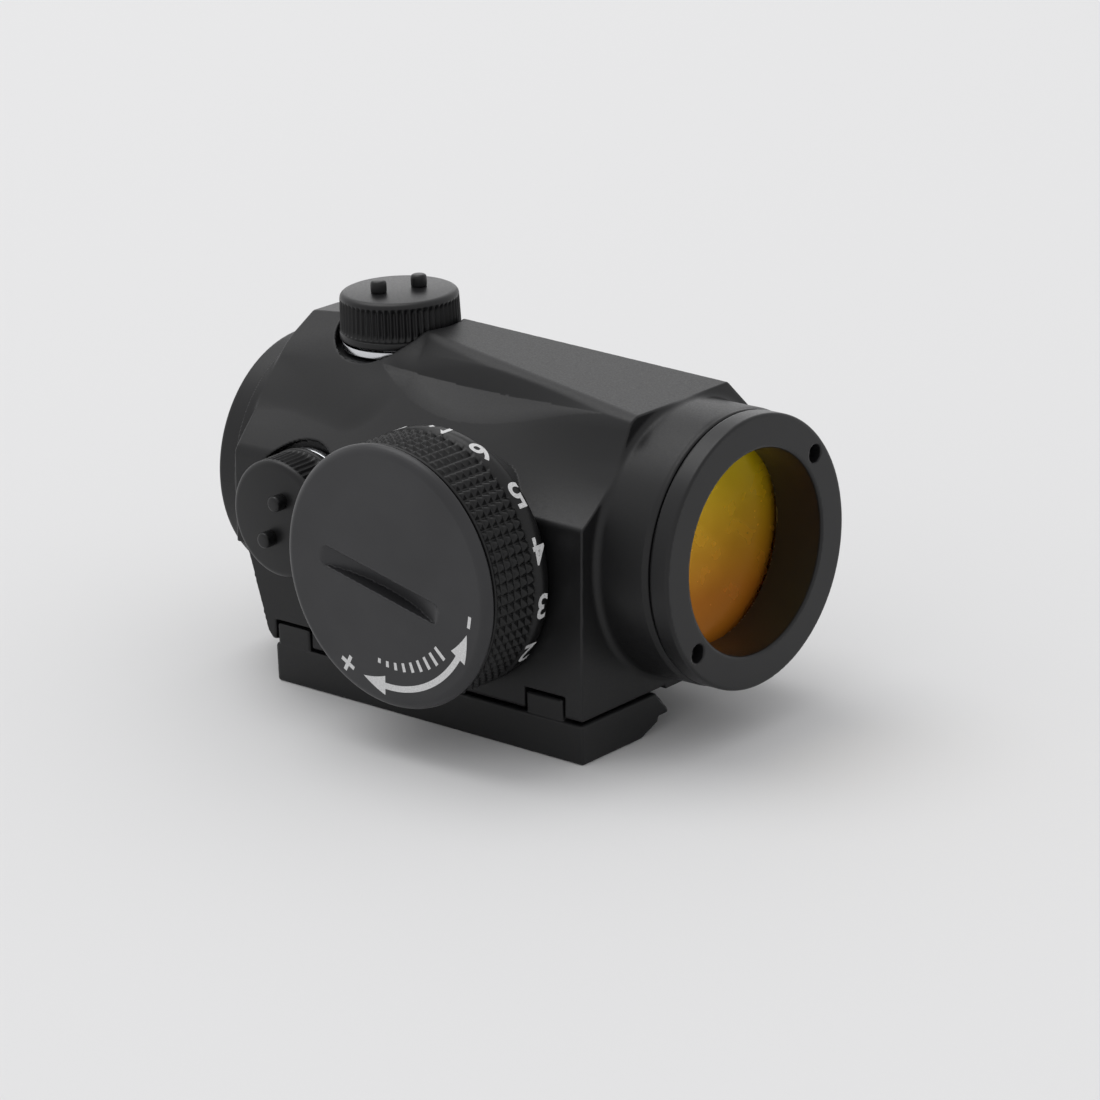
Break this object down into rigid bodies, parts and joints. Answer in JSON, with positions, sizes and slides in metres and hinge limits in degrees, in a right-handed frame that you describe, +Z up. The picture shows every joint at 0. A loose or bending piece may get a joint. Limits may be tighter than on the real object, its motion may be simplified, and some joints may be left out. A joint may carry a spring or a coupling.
{
  "type": "compact red dot sight",
  "caption": "Closed-tube red dot sight with capped adjusters, a side rotary switch over a coin cell, and a clamp foot for a dovetail rail.",
  "frame": {"origin": "face that rests on the rail, under the optical axis and midway along the tube", "axes": "+X forward along the optical axis, +Y left, +Z up; the rotary switch is on the -Y side"},
  "size_m": [0.062, 0.0407, 0.0408],
  "materials": {
    "matte_anodised": "fine matte black anodise",
    "satin_anodised": "satin black anodise, turned",
    "cap_anodised": "satin black anodise, fluted",
    "knob_anodised": "satin black anodise, knurled, white dial digits",
    "battery_cap_anodised": "smooth satin black anodise, white printed arrow",
    "black_interior": "dead matte black",
    "bare_ring": "bright turned",
    "plain_steel": "plain",
    "blackened_steel": "black oxide",
    "brass": "turned",
    "plated_contact": "gold plated",
    "cell_steel": "nickel plated",
    "black_rubber": "matte",
    "amber_coated_glass": "amber reflecting coating",
    "clear_glass": "clear, anti-reflection coated",
    "circuit_board": "green solder mask",
    "dark_plastic": "moulded",
    "red_emitter": "clear red"
  },
  "bodies": {
    "body": {"housing": "matte_anodised", "front_retaining_ring": "satin_anodised", "rear_retaining_ring": "satin_anodised", "objective_front_element": "amber_coated_glass", "objective_rear_element": "clear_glass", "eyepiece_window": "clear_glass", "front_lens_seal": "black_rubber", "rear_window_seal": "black_rubber", "tube_return_spring": "plain_steel", "elevation_seat_ring": "bare_ring", "elevation_threaded_neck": "plain_steel", "elevation_click_ball": "plain_steel", "elevation_click_spring": "plain_steel", "windage_seat_ring": "bare_ring", "windage_threaded_neck": "plain_steel", "windage_click_ball": "plain_steel", "windage_click_spring": "plain_steel", "switch_board": "circuit_board", "switch_bush": "brass", "switch_retaining_ring": "plain_steel", "contact_insulator": "dark_plastic", "contact_pin": "plated_contact", "switch_click_ball": "plain_steel", "switch_click_spring": "plain_steel", "fixed_claw_bar": "matte_anodised", "claw_bar_screw_1": "blackened_steel", "claw_bar_screw_2": "blackened_steel", "claw_bar_screw_3": "blackened_steel"},
    "gimbal": {"gimbal_ring": "plain_steel"},
    "optical_tube": {"inner_tube": "black_interior", "emitter_holder": "dark_plastic", "emitter_led": "red_emitter"},
    "elevation_drum": {"elevation_adjuster": "brass", "elevation_adjuster_seal": "black_rubber"},
    "windage_drum": {"windage_adjuster": "brass", "windage_adjuster_seal": "black_rubber"},
    "elevation_cap_washer": {"elevation_cap_seal": "black_rubber"},
    "elevation_cap": {"elevation_cap": "cap_anodised"},
    "windage_cap_washer": {"windage_cap_seal": "black_rubber"},
    "windage_cap": {"windage_cap": "cap_anodised"},
    "rotary_switch": {"rotary_switch_knob": "knob_anodised", "battery_contact": "plain_steel", "coin_cell": "cell_steel"},
    "battery_cap_washer": {"battery_cap_seal": "black_rubber"},
    "battery_cap": {"battery_cap": "battery_cap_anodised"},
    "clamp_jaw": {"clamp_jaw": "matte_anodised"},
    "clamp_screw_rear": {"clamp_screw_rear": "blackened_steel"},
    "clamp_screw_front": {"clamp_screw_front": "blackened_steel"}
  },
  "joints": [
    {"name": "tube_pitch", "type": "hinge", "parent": "body", "child": "gimbal", "pos_m": [0.015, 0, 0.0151], "axis": [0, 1, 0], "range_deg": [-0.58, 0.58]},
    {"name": "tube_yaw", "type": "hinge", "parent": "gimbal", "child": "optical_tube", "pos_m": [0.015, 0, 0.0151], "axis": [0, 0, 1], "range_deg": [-0.58, 0.58]},
    {"name": "elevation_adjuster_turn", "type": "hinge", "parent": "body", "child": "elevation_drum", "pos_m": [-0.01605, 0, 0.0301], "axis": [0, 0, 1], "range_deg": [-320, 320]},
    {"name": "windage_adjuster_turn", "type": "hinge", "parent": "body", "child": "windage_drum", "pos_m": [-0.01605, -0.015, 0.0151], "axis": [0, -1, 0], "range_deg": [-320, 320]},
    {"name": "elevation_cap_lift", "type": "slide", "parent": "body", "child": "elevation_cap_washer", "axis": [0, 0, 1], "range_m": [0, 0.002]},
    {"name": "elevation_cap_turn", "type": "hinge", "parent": "elevation_cap_washer", "child": "elevation_cap", "pos_m": [-0.01605, 0, 0.0331], "axis": [0, 0, 1], "range_deg": [0, 1440]},
    {"name": "windage_cap_lift", "type": "slide", "parent": "body", "child": "windage_cap_washer", "axis": [0, -1, 0], "range_m": [0, 0.002]},
    {"name": "windage_cap_turn", "type": "hinge", "parent": "windage_cap_washer", "child": "windage_cap", "pos_m": [-0.01605, -0.018, 0.0151], "axis": [0, -1, 0], "range_deg": [0, 1440]},
    {"name": "rotary_switch_turn", "type": "hinge", "parent": "body", "child": "rotary_switch", "pos_m": [0.00525, -0.018, 0.01474], "axis": [0, -1, 0], "range_deg": [-200, 100]},
    {"name": "battery_cap_lift", "type": "slide", "parent": "rotary_switch", "child": "battery_cap_washer", "axis": [0, -1, 0], "range_m": [0, 0.00225]},
    {"name": "battery_cap_turn", "type": "hinge", "parent": "battery_cap_washer", "child": "battery_cap", "pos_m": [0.00525, -0.025, 0.01474], "axis": [0, -1, 0], "range_deg": [0, 1080]},
    {"name": "clamp_jaw_slide", "type": "slide", "parent": "body", "child": "clamp_jaw", "axis": [0, 1, 0], "range_m": [0, 0.002]},
    {"name": "clamp_screw_rear_turn", "type": "hinge", "parent": "clamp_jaw", "child": "clamp_screw_rear", "pos_m": [-0.008, 0.012, 0.0017], "axis": [0, 1, 0], "range_deg": [0, 1440]},
    {"name": "clamp_screw_front_turn", "type": "hinge", "parent": "clamp_jaw", "child": "clamp_screw_front", "pos_m": [0.003, 0.012, 0.0017], "axis": [0, 1, 0], "range_deg": [0, 1440]}
  ],
  "couplings": [
    {"joint": "tube_pitch", "follows": "elevation_adjuster_turn", "ratio": 0.0017905},
    {"joint": "tube_yaw", "follows": "windage_adjuster_turn", "ratio": 0.0017905},
    {"joint": "elevation_cap_turn", "follows": "elevation_cap_lift", "rad_per_m": 12566},
    {"joint": "windage_cap_turn", "follows": "windage_cap_lift", "rad_per_m": 12566},
    {"joint": "battery_cap_turn", "follows": "battery_cap_lift", "rad_per_m": 8377.6},
    {"joint": "clamp_screw_rear_turn", "follows": "clamp_jaw_slide", "rad_per_m": 12566},
    {"joint": "clamp_screw_front_turn", "follows": "clamp_jaw_slide", "rad_per_m": 12566}
  ]
}
